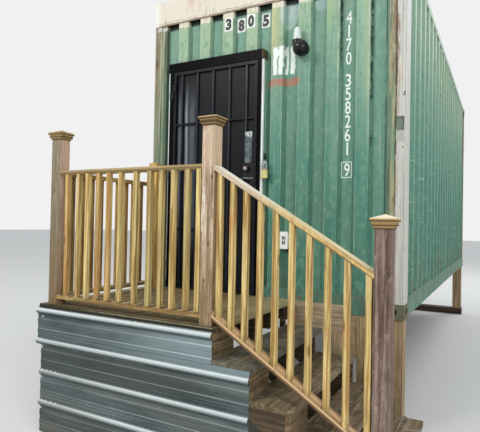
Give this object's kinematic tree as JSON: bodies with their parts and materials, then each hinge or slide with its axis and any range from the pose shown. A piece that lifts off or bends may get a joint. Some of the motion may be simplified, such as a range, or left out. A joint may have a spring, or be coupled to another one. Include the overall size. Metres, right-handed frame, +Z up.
{
  "type": "shipping container cabin",
  "caption": "Raised steel container cabin with a barred front door that opens, a timber landing with railings, an open stair and a ribbed sheet skirt.",
  "frame": {"origin": "on the ground under the middle of the door end, at the underside of the front ground sleeper", "axes": "+X to the right as one faces the door, +Y from the door end to the cargo end, +Z up"},
  "size_m": [2.6145, 7.4559, 3.766],
  "materials": {
    "green_paint": "weathered sage green paint with rust",
    "cream_paint": "weathered cream paint with rust at the lower edge",
    "casting_steel": "rough cast steel under worn paint",
    "frame_steel": "dark underbody paint",
    "black_paint": "semi-gloss black paint",
    "seal_rubber": "dull black",
    "floor_wood": "oiled plywood",
    "white_wood": "white painted batten",
    "lock_steel": "satin",
    "lock_brass": "dull",
    "lamp_plastic": "black holder with a white lamp",
    "white_plastic": "satin",
    "plate_white": "white enamel with plain black digits",
    "galvanised": "galvanised steel",
    "new_pine": "treated pine, golden",
    "weathered_wood": "weathered, pinkish tan",
    "dark_wood": "weathered, dark brown",
    "deck_wood": "weathered grey beige",
    "brick": "red brick in mortar",
    "tread_wood": "weathered, stained, with leaf litter"
  },
  "bodies": {
    "cabin": {"front_wall_left": "green_paint", "front_wall_over_door": "green_paint", "front_wall_right": "green_paint", "front_header": "cream_paint", "header_plate": "cream_paint", "front_sill": "green_paint", "corner_posts": "green_paint", "corner_castings": "casting_steel", "left_side_wall": "green_paint", "right_side_wall": "green_paint", "side_top_rails": "green_paint", "side_bottom_rails": "green_paint", "roof_panel": "green_paint", "floor_boards": "floor_wood", "floor_crossmembers": "frame_steel", "rear_frame": "green_paint", "cargo_doors": "green_paint", "cargo_door_gasket": "seal_rubber", "cargo_door_gear": "galvanised", "door_head": "black_paint", "door_jambs": "black_paint", "white_battens": "white_wood", "fixed_hinge_barrels": "black_paint", "padlock": "lock_brass", "wall_light": "lamp_plastic", "outlet_plate": "white_plastic", "number_plates": "plate_white", "landing_posts": "weathered_wood", "post_stair": "dark_wood", "post_rear": "new_pine", "post_caps": "new_pine", "deck_boards": "deck_wood", "deck_frame": "dark_wood", "deck_joists": "dark_wood", "front_railing": "new_pine", "left_railing": "new_pine", "stair_railing": "new_pine", "stair_stringers": "dark_wood", "stair_treads": "tread_wood", "riser_blocks": "dark_wood", "front_skirt": "galvanised", "base_board": "weathered_wood", "brick_pier": "brick", "support_posts": "dark_wood", "ground_sleepers": "dark_wood"},
    "door": {"leaf_frame": "black_paint", "leaf_bars": "black_paint", "leaf_sheet": "black_paint", "leaf_hinge_barrels": "black_paint", "leaf_lockset": "lock_steel"}
  },
  "joints": [
    {"name": "door_hinge", "type": "hinge", "parent": "cabin", "child": "door", "pos_m": [-0.946, -0.052, 2], "axis": [0, 0, -1], "range_deg": [0, 90]}
  ]
}
